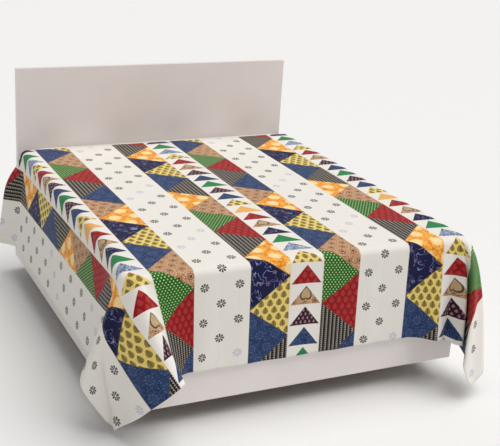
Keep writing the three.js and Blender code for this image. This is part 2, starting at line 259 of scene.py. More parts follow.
def cloth_surface(u, v):
    """Points of the cloth's middle at u from the left hem and v from the head hem.

    On the bed the cloth is flat. Past the edge it goes straight out from the corner's rounding
    or square to the edge, turns down on a bend and then hangs straight, leaning right and
    forward as the tables say. Round a corner the lean depends on the turn, so the spare cloth
    falls in folds that run out from the corner, and a bow of half a sine pushes it to the right
    on its way down. The left edge lies in from the line of its corner. The head end of the left
    drop turns out about an upright ridge, like a wing, further the lower it hangs.
    """
    left = u < CENTRE_U
    side = np.where(left, -1.0, 1.0)
    beyond = v - (FOOT_V - CORNER)
    inset = np.where(left, SIDE_INSET * ease(-beyond / INSET_REACH), 0)
    past = np.where(left, LEFT_TANGENT + CORNER + inset - u, u - (RIGHT_TANGENT - CORNER))
    out_x, out_y = np.maximum(past, 0), np.maximum(beyond, 0)
    reach = np.hypot(out_x, out_y)
    safe = np.maximum(reach, 1e-9)
    outward = np.stack([side * out_x / safe, -out_y / safe, np.zeros_like(u)], -1)
    turn = np.degrees(np.arctan2(out_y, np.maximum(out_x, 1e-12)))
    at_corner = (past > 0) & (beyond > 0)
    at_foot = ~at_corner & (beyond > 0)

    from_left = u - (LEFT_TANGENT + CORNER)
    from_right = RIGHT_TANGENT - CORNER - u

    def either(on_left, on_right, column, at):
        smooth_left, smooth_right = (smooth_column(t, column, at) for t in (on_left, on_right))
        return np.where(left, smooth_left, smooth_right)

    def lean(column):
        corner = either(LEFT_CORNER, RIGHT_CORNER, column, turn)
        sides = either(LEFT_SIDE, RIGHT_SIDE, column, -beyond)
        foot = smooth_column(LEFT_FOOT, column, from_left)
        foot += smooth_column(RIGHT_FOOT, column, from_right)
        return np.where(at_corner, corner, np.where(at_foot, foot, sides))

    right, front = lean(1), lean(2)
    full = at_corner & ~left
    bend = np.where(full, smooth_column(RIGHT_FULLNESS, 1, turn), BEND)
    bow = np.where(full, smooth_column(RIGHT_FULLNESS, 2, turn), 0.0)
    bow += np.where(at_corner & left, smooth_column(LEFT_FULLNESS, 1, turn), 0)
    bow += np.where(at_foot, smooth_column(RIGHT_FOOT_FULLNESS, 1, from_right), 0)

    edge = side * (BED_WIDTH / 2 - BEND - CORNER) + inset
    centre_x = np.where(past > 0, edge, u - CENTRE_U)
    centre_y = BEND + CORNER - np.minimum(beyond, 0)
    point = np.stack([centre_x, centre_y, np.zeros_like(u)], -1)
    point += outward * np.minimum(reach, CORNER)[..., None]
    down = np.stack([right, -front, -np.ones_like(u)], -1)
    down /= np.linalg.norm(down, axis=-1, keepdims=True)
    cosine = np.sum(outward * down, -1)
    square = down - outward * cosine[..., None]
    square /= np.linalg.norm(square, axis=-1, keepdims=True)
    whole = np.arccos(cosine)
    arc = math.pi / 2 * bend
    over = np.maximum(reach - CORNER, 0)
    turned = whole * np.clip(over / arc, 0, 1)
    radius = arc / whole
    point += outward * (radius * np.sin(turned))[..., None]
    point += square * (radius * (1 - np.cos(turned)))[..., None]
    drop = np.maximum(over - arc, 0)
    point += down * drop[..., None]
    point[..., 0] += bow * np.sin(math.pi * np.minimum(drop / BOW_DROP, 1) ** 0.7)
    wing = np.where(left & (past > 0), np.maximum(WING_REACH - v, 0), 0)
    wing = wing**2 / (wing + WING_ROUND)
    opened = math.radians(WING_ANGLE) * ease(drop / WING_OPEN)
    point[..., 0] -= wing * np.sin(opened)
    point[..., 1] += wing * (WING_DRAG / WING_REACH * drop - 1 + np.cos(opened))
    return point


def dragged(u, v):
    """Where the cloth at u, v has slid to: further down toward the right foot corner.

    The slide grows with the square of the way across and of the way along.
    """
    across = np.clip((u - RIGHT_TANGENT + DRAG_ACROSS) / DRAG_ACROSS, 0, 1) ** 2
    down = np.clip((v - (FOOT_V - DRAG_ALONG)) / DRAG_ALONG, 0, 1) ** 2
    return v + DRAG * across * down


def print_slip(u, v):
    """How far the print runs off the cut's own lengthwise places, as it was not printed square.

    It grows along the bed up to the foot edge and then changes down the foot drop.
    """
    at_edge = smooth_column(PRINT_SLIP, 1, u)
    at_hem = smooth_column(PRINT_SLIP, 2, u)
    down = np.clip((v - FOOT_V) / (SHEET_LENGTH - FOOT_V), 0, 1)
    on_bed = ease((v - PRINT_SLIP_START) / (FOOT_V - PRINT_SLIP_START))
    return at_edge * on_bed * (1 - down) + at_hem * down


def stretches(*rows):
    """Grid lines from 0: each row is where a stretch ends and how many steps it is cut in."""
    lines = [np.zeros(1)]
    for end, steps in rows:
        lines.append(np.linspace(lines[-1][-1], end, steps + 1)[1:])
    return np.concatenate(lines)


def sheet_grid():
    """The cloth's grid lines, close together at the bends, the corners and the hems."""
    across = stretches(
        (HEM, 3),
        (LEFT_TANGENT - TURN, 36),
        (LEFT_TANGENT + SIDE_INSET + 0.006, 15),
        (LEFT_TANGENT + CORNER + 0.261, 26),
        (RIGHT_TANGENT - CORNER - 0.230, 60),
        (RIGHT_TANGENT - CORNER, 24),
        (RIGHT_TANGENT, 6),
        (RIGHT_TANGENT + TURN, 8),
        (SHEET_WIDTH - HEM, 40),
        (SHEET_WIDTH, 3),
    )
    along = stretches(
        (HEM, 3),
        (WING_REACH, 9),
        (0.200, 7),
        (FOOT_V - CORNER - 0.500, 50),
        (FOOT_V - CORNER, 36),
        (FOOT_V, 6),
        (FOOT_V + TURN, 8),
        (SHEET_LENGTH - HEM, 38),
        (SHEET_LENGTH, 3),
    )
    return np.meshgrid(across, along)


def grid_normals(points):
    """Unit normals of a grid of points, from the differences along its rows and columns."""
    normals = np.cross(np.gradient(points, axis=0), np.gradient(points, axis=1))
    return normals / np.maximum(np.linalg.norm(normals, axis=-1, keepdims=True), 1e-12)


def waves(u, v, seed, count, shortest, longest):
    """A sum of sine waves in seeded directions, between -1 and 1."""
    draw = np.random.default_rng(seed)
    total = np.zeros_like(u)
    for _ in range(count):
        angle = draw.uniform(0, 2 * math.pi)
        length = draw.uniform(shortest, longest)
        phase = draw.uniform(0, 2 * math.pi)
        total += np.sin(2 * math.pi * (u * math.cos(angle) + v * math.sin(angle)) / length + phase)
    return total / count


def uneven_wave(at, length, swing, swing_length):
    """A sine whose phase swings slowly along it, so no two waves are alike."""
    return np.sin(2 * math.pi * at / length + swing * np.sin(2 * math.pi * at / swing_length))


def wrinkles(u, v, depth):
    """How far the cloth stands out from its smooth shape.

    On the bed it is a low, slow swell. On the drops it is soft upright waves that start at the
    edge and deepen downward. A crease runs down the middle of the left tail: a valley whose
    depth falls off with the square of the distance from a straight line on the cut.
    """
    swell = 0.5 + 0.5 * waves(u, v, seed=3, count=9, shortest=0.16, longest=0.55)
    from_side = np.maximum(LEFT_TANGENT - u, u - RIGHT_TANGENT)
    from_foot = v - FOOT_V
    side_drop = np.clip(from_side / WAVES_GROW, 0, 1)
    foot_drop = np.clip(from_foot / WAVES_GROW, 0, 1)
    side_wave = 0.18 + 0.18 * uneven_wave(v, SIDE_WAVE, 1.3, 0.9)
    foot_wave = 0.5 + 0.5 * uneven_wave(u, FOOT_WAVE, 1.1, 0.8)
    flat = 1 - np.maximum(side_drop, foot_drop)
    down_x, down_y = TAIL_CREASE_WAY
    off = (u - TAIL_CREASE[0]) * down_y - (v - TAIL_CREASE[1]) * down_x
    along = (u - TAIL_CREASE[0]) * down_x + (v - TAIL_CREASE[1]) * down_y
    crease = np.exp(-((off / TAIL_CREASE_WIDTH) ** 2)) * ease(along / TAIL_CREASE_FADE + 0.3)
    low_swell = 0.5 * flat * swell
    side_waves = side_drop * side_wave * (1 - foot_drop)
    foot_waves = foot_drop * foot_wave * (1 - side_drop)
    return -TAIL_CREASE_DEPTH * crease + depth * (low_swell + side_waves + foot_waves)


def grid_faces(rows, columns, close_across=False):
    """Four-sided faces of a grid, row by row; close_across joins the last column to the first."""
    wide = columns if close_across else columns - 1
    j, i = np.meshgrid(np.arange(rows - 1), np.arange(wide), indexing="ij")
    nxt = (i + 1) % columns
    a, b = j * columns + i, j * columns + nxt
    return np.stack([a, a + columns, b + columns, b], -1).reshape(-1, 4)


def add_piece(name, points, faces, materials, smooth=True):
    """A mesh object of these points and faces, at the origin, with its materials."""
    mesh = bpy.data.meshes.new(name)
    mesh.from_pydata(points.reshape(-1, 3).tolist(), [], [list(map(int, f)) for f in faces])
    mesh.update()
    mesh.polygons.foreach_set("use_smooth", np.full(len(mesh.polygons), smooth))
    for material in materials:
        mesh.materials.append(material)
    piece = bpy.data.objects.new(name, mesh)
    bpy.context.scene.collection.objects.link(piece)
    return piece


def add_flat_map(piece, name, u, v):
    """A UV map of the cloth as it was cut, its width and length both running from 0 to 1."""
    layer = piece.data.uv_layers.new(name=name)
    corner = np.zeros(len(piece.data.loops), np.int32)
    piece.data.loops.foreach_get("vertex_index", corner)
    flat = np.stack([u.ravel() / SHEET_WIDTH, v.ravel() / SHEET_LENGTH], -1)[corner]
    layer.data.foreach_set("uv", flat.astype(np.float32).ravel())


# ---------------------------------------------------------------- nodes
class Field:
    """A number that varies over a surface. Sums, products and the rest become Math nodes."""

    def __init__(self, tree, socket):
        self.tree = tree
        self.socket = socket

    def math(self, operation, *others):
        node = self.tree.nodes.new("ShaderNodeMath")
        node.operation = operation
        for place, value in enumerate((self, *others)):
            feed(self.tree, node.inputs[place], value)
        return Field(self.tree, node.outputs[0])

    def __add__(self, other):
        return self.math("ADD", other)

    def __sub__(self, other):
        return self.math("SUBTRACT", other)

    def __mul__(self, other):
        return self.math("MULTIPLY", other)

    def __truediv__(self, other):
        return self.math("DIVIDE", other)

    def from_one(self):
        return self.math("MULTIPLY_ADD", -1.0, 1.0)

    def over(self, edge):
        return self.math("GREATER_THAN", edge)

    def under(self, edge):
        return self.math("LESS_THAN", edge)

    def near(self, value, reach=0.5):
        return self.math("COMPARE", value, reach)

    def floor(self):
        return self.math("FLOOR")

    def part(self):
        return self.math("FRACT")

    def size(self):
        return self.math("ABSOLUTE")

    def sine(self):
        return self.math("SINE")

    def least(self, other):
        return self.math("MINIMUM", other)

    def most(self, other):
        return self.math("MAXIMUM", other)

    def wrap(self, length):
        return self.math("FLOORED_MODULO", length)

    def soft(self, low, high):
        """0 below low and 1 above high, smooth between; high may be the lower of the two."""
        node = self.tree.nodes.new("ShaderNodeMapRange")
        node.interpolation_type = "SMOOTHSTEP"
        feed(self.tree, node.inputs["Value"], self)
        rising = low < high
        node.inputs["From Min"].default_value = min(low, high)
        node.inputs["From Max"].default_value = max(low, high)
        node.inputs["To Min"].default_value = 0.0 if rising else 1.0
        node.inputs["To Max"].default_value = 1.0 if rising else 0.0
        return Field(self.tree, node.outputs["Result"])

    def ramp(self, low, high):
        """0 below low and 1 above high, straight between."""
        node = self.tree.nodes.new("ShaderNodeMapRange")
        feed(self.tree, node.inputs["Value"], self)
        node.inputs["From Min"].default_value = low
        node.inputs["From Max"].default_value = high
        return Field(self.tree, node.outputs["Result"])

    def lookup(self, values):
        """The value whose place in the list is this whole number."""
        node = self.tree.nodes.new("ShaderNodeValToRGB")
        node.color_ramp.interpolation = "CONSTANT"
        count, most = len(values), max(values) or 1
        elements = node.color_ramp.elements
        while len(elements) < count:
            elements.new(1.0)
        for i, value in enumerate(values):
            elements[i].position = i / count
            shade = value / most
            elements[i].color = (shade, shade, shade, 1)
        feed(self.tree, node.inputs[0], (self + 0.5) / count)
        return Field(self.tree, node.outputs["Color"]) * most


def feed(tree, socket, value):
    """Links a field, a colour or a socket to a socket, or sets a constant on it."""
    if isinstance(value, Field):
        tree.links.new(value.socket, socket)
    elif isinstance(value, bpy.types.NodeSocket):
        tree.links.new(value, socket)
    elif isinstance(value, tuple) and len(value) == 3 and len(socket.default_value) == 4:
        socket.default_value = (*value, 1.0)
    else:
        socket.default_value = value


def mix(tree, amount, first, second, blend="MIX"):
    """The colour between first and second."""
    node = tree.nodes.new("ShaderNodeMix")
    node.data_type = "RGBA"
    node.blend_type = blend
    feed(tree, node.inputs[0], amount)
    feed(tree, node.inputs[6], first)
    feed(tree, node.inputs[7], second)
    return node.outputs[2]


def place(tree, x, y, z=0.0):
    """A vector from three fields or numbers."""
    node = tree.nodes.new("ShaderNodeCombineXYZ")
    for socket, value in zip(node.inputs, (x, y, z)):
        feed(tree, socket, value)
    return node.outputs[0]


def noise(tree, vector, scale, detail=2.0, roughness=0.5, distortion=0.0):
    """Smooth noise about 0.5."""
    node = tree.nodes.new("ShaderNodeTexNoise")
    tree.links.new(vector, node.inputs["Vector"])
    node.inputs["Scale"].default_value = scale
    node.inputs["Detail"].default_value = detail
    node.inputs["Roughness"].default_value = roughness
    node.inputs["Distortion"].default_value = distortion
    return Field(tree, node.outputs[0])


def staggered(u, v, across, along):
    """Offsets from the nearest point of a staggered grid: to the right, and toward the head."""
    row = v / along
    x = u / across + row.floor().wrap(2.0) * 0.5
    return (x.part() - 0.5) * across, (row.part() - 0.5) * -along


def polar(x, y):
    """Distance and angle of an offset."""
    return (x * x + y * y).math("SQRT"), y.math("ARCTAN2", x)


def petals(x, y, radius, count, inner, width):
    """A ring of separate petals that narrow toward the centre.

    In each of the count sectors a petal runs from inner to radius, and is as wide as width
    times its distance from the centre, less toward its rounded tip.
    """
    far, angle = polar(x, y)
    sector = ((angle * (count / (2 * math.pi)) + 0.5).part() - 0.5).size()
    tip = (far - radius * 0.78).most(0.0) / (radius * 0.22)
    slim = (tip * tip).from_one().most(0.0).math("SQRT") * width
    return (slim - sector).over(0.0) * far.over(inner) * far.under(radius)


def leaf_sprig(x, y, half_width, half_height, veins):
    """A leaf block with a stem: its body, and the vein lines in it.

    The body is an oval, wider below its middle. Veins slant up from the midrib.
    """
    high = y / half_height
    wide = x / ((high * -0.42 + 1.0) * half_width)
    body = (wide * wide + high * high).under(1.0)
    stem = x.size().under(half_width * 0.13) * y.under(0.0) * y.over(-half_height * 1.35)
    lines = ((y - x.size() * 0.9) / veins).part().under(0.42)
    return body.most(stem), lines * body * x.size().over(half_width * 0.16)


def spade_leaf(x, y):
    """The outline and the body of a spade-shaped leaf with its point up.

    The outline is where the length of (x, -y - 0.62 root x) is 1, x and y being in units of the
    leaf's half width and of its height over the middle.
    """
    across = x / SPADE_HALF_WIDTH
    high = y / -SPADE_HEIGHT - across.math("SQRT") * 0.62
    far = (across * across + high * high).math("SQRT")
    return far.near(0.95, 0.13), far.under(1.34)


# ---------------------------------------------------------------- prints
def blue_print(tree, u, v, look):
    """Round mandalas of pale line work on denim blue, with curling lines between them."""
    far, angle = polar(*staggered(u, v, 0.072, 0.062))
    scallop = (angle * 4.0).sine().size() * 0.0016
    ring = ((far - scallop) / 0.0058).part().near(0.5, 0.13)
    rays = (angle * 8.0).sine().over(0.55) * far.near(0.0165, 0.0028)
    curls = noise(tree, place(tree, u, v), 75.0, 0.0)
    worm = (curls * 5.0).part().near(0.5, 0.10)
    inside = far.under(0.026)
    line = (ring * inside).most(rays).most(worm * inside.from_one())
    return mix(tree, line * 0.58, tuple(look.blue), linear("7189b8"))


def navy_print(tree, u, v, look):
    """Pale trailing stems with small flowers on navy."""
    curve = noise(tree, place(tree, u, v), 17.0, 1.0, 0.4, 0.6)
    stem = curve.near(0.5, 0.0075).most(curve.near(0.62, 0.008))
    gaps = noise(tree, place(tree, u, v, 3.0), 38.0, 0.0).over(0.44)
    flower = petals(*staggered(u, v, 0.058, 0.052), 0.0105, 5, 0.002, 0.34)
    colour = mix(tree, stem * gaps * 0.70, tuple(look.navy), linear("9aa2d8"))
    pick = noise(tree, place(tree, u, v, 9.0), 14.0, 0.0).over(0.5)
    return mix(tree, flower * 0.42 * pick, colour, linear("b98fae"))


def tan_print(tree, u, v, look):
    """Close pink-brown florets on tan, with dark eyed flowers."""
    speck = noise(tree, place(tree, u, v), 150.0, 1.0, 0.6)
    colour = mix(tree, speck.soft(0.47, 0.60) * 0.75, tuple(look.tan), linear("e3c3a0"))
    colour = mix(tree, speck.soft(0.44, 0.36) * 0.7, colour, linear("9c5f4c"))
    far, angle = polar(*staggered(u, v, 0.052, 0.046))
    edge = (angle * 6.0).sine() * 0.0012
    petal = (far + edge).under(0.0135)
    colour = mix(tree, petal * 0.8, colour, linear("c79a72"))
    ring = (far + edge).near(0.0125, 0.0016)
    colour = mix(tree, ring * 0.85, colour, linear("703a2c"))
    return mix(tree, far.under(0.0062) * 0.9, colour, linear("4a241d"))


def green_print(tree, u, v, look):
    """A slanted lattice of white dots on bright green."""
    far, _ = polar(*staggered(u, v, 0.0165, 0.0115))
    return mix(tree, far.soft(0.0034, 0.0024) * 0.92, tuple(look.green), linear("dfeab0"))


def red_print(tree, u, v, look):
    """Plume blocks in a lighter red, in staggered rows."""
    body, veins = leaf_sprig(*staggered(u, v, 0.035, 0.031), 0.0106, 0.0140, 0.0046)
    colour = mix(tree, body * 0.36, tuple(look.red), linear("d0605a"))
    return mix(tree, veins * 0.8, colour, tuple(look.red))


def yellow_print(tree, u, v, look):
    """Olive leaf blocks on yellow, in staggered rows."""
    body, veins = leaf_sprig(*staggered(u, v, 0.041, 0.034), 0.0126, 0.0162, 0.0056)
    colour = mix(tree, body * 0.92, tuple(look.yellow), linear("564612"))
    return mix(tree, veins * 0.8, colour, linear("c9b462"))


def orange_print(tree, u, v, look):
    """Orange marbling with large cream-yellow flowers."""
    marble = noise(tree, place(tree, u, v), 58.0, 3.0, 0.62, 0.8)
    colour = mix(tree, marble.soft(0.42, 0.62), tuple(look.orange), linear("ffc65c"))
    x, y = staggered(u, v, 0.098, 0.078)
    x = x + (noise(tree, place(tree, u, v, 5.0), 90.0, 1.0) - 0.5) * 0.008
    far, angle = polar(x, y)
    edge = (angle * 7.0).sine().size() * 0.0055
    petal = (far - edge).soft(0.0270, 0.0235)
    colour = mix(tree, petal * 0.85, colour, linear("fff0b4"))
    line = (angle * 14.0).sine().over(0.80) * far.over(0.006) * petal
    return mix(tree, line * 0.45, colour, tuple(look.orange))


def striped_print(tree, u, v, look):
    """Black combs side by side on cream: each has a lengthwise back and short teeth on one side."""
    s = (u / 0.0190).part()
    teeth = (v / 0.0100).part().under(0.60) * s.under(0.86)
    dark = s.under(0.54).most(teeth)
    return mix(tree, dark * 0.98, linear("b1a79b"), linear("0c0b0e"))


def maroon_print(tree, u, v, look):
    """Small pale pink sprigs in staggered rows on near-black maroon."""
    ground = linear("2b1223")
    body, veins = leaf_sprig(*staggered(u, v, 0.0215, 0.0190), 0.0050, 0.0072, 0.0036)
    return mix(tree, veins * 0.7, mix(tree, body * 0.72, ground, linear("c99aa4")), ground)


def dotted_print(tree, u, v, look):
    """Fine pale dots on golden orange."""
    far, _ = polar(*staggered(u, v, 0.0105, 0.0080))
    return mix(tree, far.under(0.0022) * 0.85, linear("eea63a"), linear("fff2c8"))


def grey_print(tree, u, v, look):
    """Dark curling lines and white flecks on blue-grey."""
    curve = noise(tree, place(tree, u, v, 2.0), 46.0, 1.0, 0.5, 0.9)
    colour = mix(tree, curve.near(0.5, 0.028) * 0.9, linear("8f9fbf"), linear("23232e"))
    return mix(tree, curve.near(0.62, 0.022) * 0.85, colour, linear("eceef0"))


def plain_print(tree, u, v, look):
    """Plain green with a hint of the weave."""
    slub = noise(tree, place(tree, u * 0.2, v), 240.0, 1.0)
    return mix(tree, slub.soft(0.4, 0.7) * 0.35, linear("1f8048"), linear("49a56c"))


def white_print(tree, u, v, s, t, look):
    """Off-white with daisies in a quincunx, and faint lines along and across.

    Daisies stand in three columns. The outer two are half a step behind the middle one. Most
    are near-black, and two in nine are pale lilac.
    """
    from_middle = s - DAISY_MIDDLE
    outer = from_middle.size().over(DAISY_SPLIT)
    x = (from_middle.size() - outer * DAISY_COLUMNS) * WHITE_BAND
    step = (t - DAISY_START - outer * OUTER_DAISY_START) / DAISY_PITCH + 0.5
    y = (step.part() - 0.5) * (DAISY_PITCH * GOOSE_PITCH)
    daisy = petals(x, y, DAISY_RADIUS, 8, 0.0036, 0.36)
    number = (step.floor() + outer * from_middle.over(0.0)).wrap(9.0)
    first, second = (number.near(float(k)) for k in LILAC_DAISIES)
    lilac = first.most(second)
    warp = x.size().under(0.0006) * 0.16
    slub = noise(tree, place(tree, u * 0.15, v), 300.0, 1.0)
    weft = slub.soft(0.66, 0.72) * 0.10
    colour = mix(tree, weft, tuple(look.white), linear("a7a4a0"))
    colour = mix(tree, warp, colour, linear("b98c8c"))
    ink = mix(tree, lilac, linear("0c1612"), linear("b7b3cf"))
    return mix(tree, daisy * (lilac * -0.30 + 0.92), colour, ink)


# Each print takes the node tree, the distances from the two hems and the settings.
PRINTS = {
    "blue": blue_print,
    "navy": navy_print,
    "tan": tan_print,
    "green": green_print,
    "red": red_print,
    "yellow": yellow_print,
    "orange": orange_print,
    "stripes": striped_print,
    "maroon": maroon_print,
    "dotted": dotted_print,
    "grey": grey_print,
    "plain": plain_print,
}


def fabric_numbers(names):
    """The places of these fabrics in the list of all fabrics."""
    return [FABRICS.index(name) for name in names]


def patchwork_group(look):
    """The node group that gives the print's colour at a place of the cut cloth.

    The bands give a column number and a place across it. A white band holds daisies, a geese
    column holds triangles on white, and a zigzag column counts the slanted seams passed so far
    to know its patch.
    """
    tree = bpy.data.node_groups.new("patchwork", "ShaderNodeTree")
    tree.interface.new_socket("Cut", in_out="INPUT", socket_type="NodeSocketVector")
    tree.interface.new_socket("Color", in_out="OUTPUT", socket_type="NodeSocketColor")
    start = tree.nodes.new("NodeGroupInput")
    u, v = cloth_fields(tree, start.outputs[0])

    edges = np.concatenate([[0], np.cumsum(BANDS)])
    bands = u.ramp(edges[0], edges[1])
    for low, high in zip(edges[1:-1], edges[2:]):
        bands = bands + u.ramp(low, high)
    number = bands.floor()
    s = bands - number
    kind = (number + 3.0).wrap(4.0)
    before, geese, after, white = (kind.near(float(k), 0.4) for k in range(4))

    t = v / GOOSE_PITCH - GOOSE_START
    in_repeat = (t + REPEAT).wrap(float(REPEAT))
    passed, seam = None, None
    corners = [(ZIGZAG_LEFT[0], ZIGZAG_RIGHT[0])]
    for k in range(1, len(ZIGZAG_LEFT)):
        corners.append((ZIGZAG_LEFT[k], ZIGZAG_RIGHT[k - 1]))
        corners.append((ZIGZAG_LEFT[k], ZIGZAG_RIGHT[k]))
    for on_left, on_right in corners:
        gap = in_repeat - (s * (on_right - on_left) + on_left)
        crossed = gap.over(0.0)
        passed = crossed if passed is None else passed + crossed
        seam = gap.size() if seam is None else seam.least(gap.size())
    patch_before = passed.lookup(fabric_numbers(ZIGZAG_BEFORE))
    patch_after = passed.lookup(fabric_numbers(ZIGZAG_AFTER))

    base = t.math("CEIL")
    up = base - t
    inside = ((up / -GOOSE_HEIGHT + 1.0) * GOOSE_HALF_WIDTH - (s - 0.5).size()).over(0.0)
    goose_number = base.wrap(float(REPEAT))
    goose = goose_number.lookup(fabric_numbers(GEESE)) * inside
    fabric = patch_before * before + patch_after * after + goose * geese

    colour = mix(tree, white, tuple(look.white), white_print(tree, u, v, s, t, look))
    for i, name in enumerate(FABRICS):
        if name in PRINTS:
            colour = mix(tree, fabric.near(float(i)), colour, PRINTS[name](tree, u, v, look))
    outline, leaf = spade_leaf((s - 0.5).size() * GEESE_COLUMN, up * GOOSE_PITCH - SPADE_MIDDLE)
    first, second = (goose_number.near(float(k)) for k in SPADE_GEESE)
    spaded = first.most(second) * inside * geese
    colour = mix(tree, leaf * spaded * 0.75, colour, linear("c4ab84"))
    colour = mix(tree, outline * spaded * 0.88, colour, linear("3f2a14"))
    stitch = seam.under(0.022) * (before + after)
    colour = mix(tree, stitch * 0.55, colour, linear("6b5a35"))
    edge = s.least(s.from_one()).under(0.010) * white.from_one()
    colour = mix(tree, edge * 0.55, colour, linear("e6d6c8"))
    ink = noise(tree, place(tree, u, v, 7.0), 26.0, 3.0, 0.6)
    colour = mix(tree, 0.10, colour, ink.socket, "OVERLAY")

    end = tree.nodes.new("NodeGroupOutput")
    tree.links.new(colour, end.inputs[0])
    return tree


def new_material(name):
    """A material, its node tree and its Principled shader."""
    material = bpy.data.materials.new(name)
    material.use_nodes = True
    tree = material.node_tree
    shader = next(n for n in tree.nodes if n.type == "BSDF_PRINCIPLED")
    return material, tree, shader


def object_fields(tree):
    """The place on the object as three fields, and as one socket."""
    where = tree.nodes.new("ShaderNodeTexCoord").outputs["Object"]
    split = tree.nodes.new("ShaderNodeSeparateXYZ")
    tree.links.new(where, split.inputs[0])
    return *(Field(tree, socket) for socket in split.outputs), where


def cloth_map(tree, name):
    """The socket of one of the cloth's two UV maps."""
    node = tree.nodes.new("ShaderNodeUVMap")
    node.uv_map = name
    return node.outputs[0]


def cloth_fields(tree, cut):
    """Distances from the left hem and from the head hem, from a place of the cut that runs 0 to 1."""
    split = tree.nodes.new("ShaderNodeSeparateXYZ")
    tree.links.new(cut, split.inputs[0])
    return Field(tree, split.outputs[0]) * SHEET_WIDTH, Field(tree, split.outputs[1]) * SHEET_LENGTH


def bump(tree, height, strength, distance, normal=None):
    """A bumped normal from a height."""
    node = tree.nodes.new("ShaderNodeBump")
    node.inputs["Strength"].default_value = strength
    node.inputs["Distance"].default_value = distance
    feed(tree, node.inputs["Height"], height)
    if normal is not None:
        tree.links.new(normal, node.inputs["Normal"])
    return node.outputs[0]


def cotton_material(name, group, reverse):
    """Printed plain-weave cotton: the print, the weave's threads, small creases, a stitched hem."""
    material, tree, shader = new_material(name)
    u, v = cloth_fields(tree, cloth_map(tree, "cut"))
    cloth = tree.nodes.new("ShaderNodeGroup")
    cloth.node_tree = group
    tree.links.new(cloth_map(tree, "printed"), cloth.inputs[0])
    colour = cloth.outputs[0]
    if reverse:
        colour = mix(tree, 0.62, colour, linear("dedad2"))
    inset = u.least(u.from_one() + (SHEET_WIDTH - 1)).least(
        v.least(v.from_one() + (SHEET_LENGTH - 1))
    )
    dashes = ((u + v) / 0.004).part().under(0.65)
    thread = inset.near(HEM * 0.92, 0.0006) * dashes
    colour = mix(tree, thread * 0.12, colour, linear("f4f1ea"))
    tree.links.new(colour, shader.inputs["Base Color"])
    shader.inputs["Roughness"].default_value = 0.82
    shader.inputs["Specular IOR Level"].default_value = 0.25
    shader.inputs["Sheen Weight"].default_value = 0.12
    shader.inputs["Sheen Roughness"].default_value = 0.45
    weave = (u * (2 * math.pi / 0.0011)).sine() * (v * (2 * math.pi / 0.0011)).sine()
    creases = noise(tree, place(tree, u, v), 9.0, 4.0, 0.55, 0.5)
    slubs = noise(tree, place(tree, u * 0.3, v), 120.0, 2.0, 0.5)
    fine = bump(tree, weave + slubs * 1.5, 0.10, 0.0004)
    hem_line = bump(tree, inset.soft(HEM, HEM * 0.86) - thread * 0.5, 0.5, 0.0008, fine)
    tree.links.new(bump(tree, creases, 0.45, 0.009, hem_line), shader.inputs["Normal"])
    return material


def board_material(name, colour):
    """Satin paint on board: faint brush marks along the board and slight clouding."""
    material, tree, shader = new_material(name)
    x, y, z, where = object_fields(tree)
    brushed = noise(tree, place(tree, x * 2.0, y * 2.0, z * 90.0), 3.0, 3.0, 0.6)
    cloud = noise(tree, where, 2.2, 3.0, 0.6)
    tone = mix(tree, cloud.soft(0.35, 0.70) * 0.35, colour, tuple(c * 0.90 for c in colour))
    tree.links.new(tone, shader.inputs["Base Color"])
    tree.links.new((brushed * 0.12 + 0.38).socket, shader.inputs["Roughness"])
    tree.links.new(bump(tree, brushed, 0.08, 0.001), shader.inputs["Normal"])
    return material


def timber_material(name):
    """Bare softwood: growth lines along the board with darker, wavering grain."""
    material, tree, shader = new_material(name)
    x, y, z, where = object_fields(tree)
    waver = noise(tree, place(tree, x * 4.0, y * 0.6, z * 0.8), 2.0, 3.0, 0.55)
    rings = (x * 95.0 + z * 30.0 + waver * 16.0).sine() * 0.5 + 0.5
    fine = noise(tree, place(tree, x * 260.0, y * 4.0, z * 9.0), 1.0, 2.0, 0.6)
    tone = mix(tree, rings.soft(0.25, 0.95) * 0.55, linear("c8ab84"), linear("a07a4e"))
    tone = mix(tree, fine.soft(0.5, 0.8) * 0.3, tone, linear("7d5a38"))
    tree.links.new(tone, shader.inputs["Base Color"])
    shader.inputs["Roughness"].default_value = 0.62
    tree.links.new(bump(tree, rings + fine, 0.12, 0.0008), shader.inputs["Normal"])
    return material


def ticking_material(name):
    """Woven mattress cover: fine twill with narrow blue-grey stripes."""
    material, tree, shader = new_material(name)
    x, y, z, where = object_fields(tree)
    twill = ((x + y + z) * (2 * math.pi / 0.0022)).sine()
    stripe = ((x + y) / 0.030).part().near(0.5, 0.05)
    tone = mix(tree, stripe * 0.35, linear("eeebe4"), linear("b9bfca"))
    tree.links.new(tone, shader.inputs["Base Color"])
    shader.inputs["Roughness"].default_value = 0.85
    shader.inputs["Sheen Weight"].default_value = 0.1
    tree.links.new(bump(tree, twill, 0.15, 0.0005), shader.inputs["Normal"])
    return material


# ---------------------------------------------------------------- settings
def colour_setting(name, text, default):
    return bpy.props.FloatVectorProperty(
        name=name, description=text, default=default, size=3, min=0, max=1, subtype="COLOR"
    )


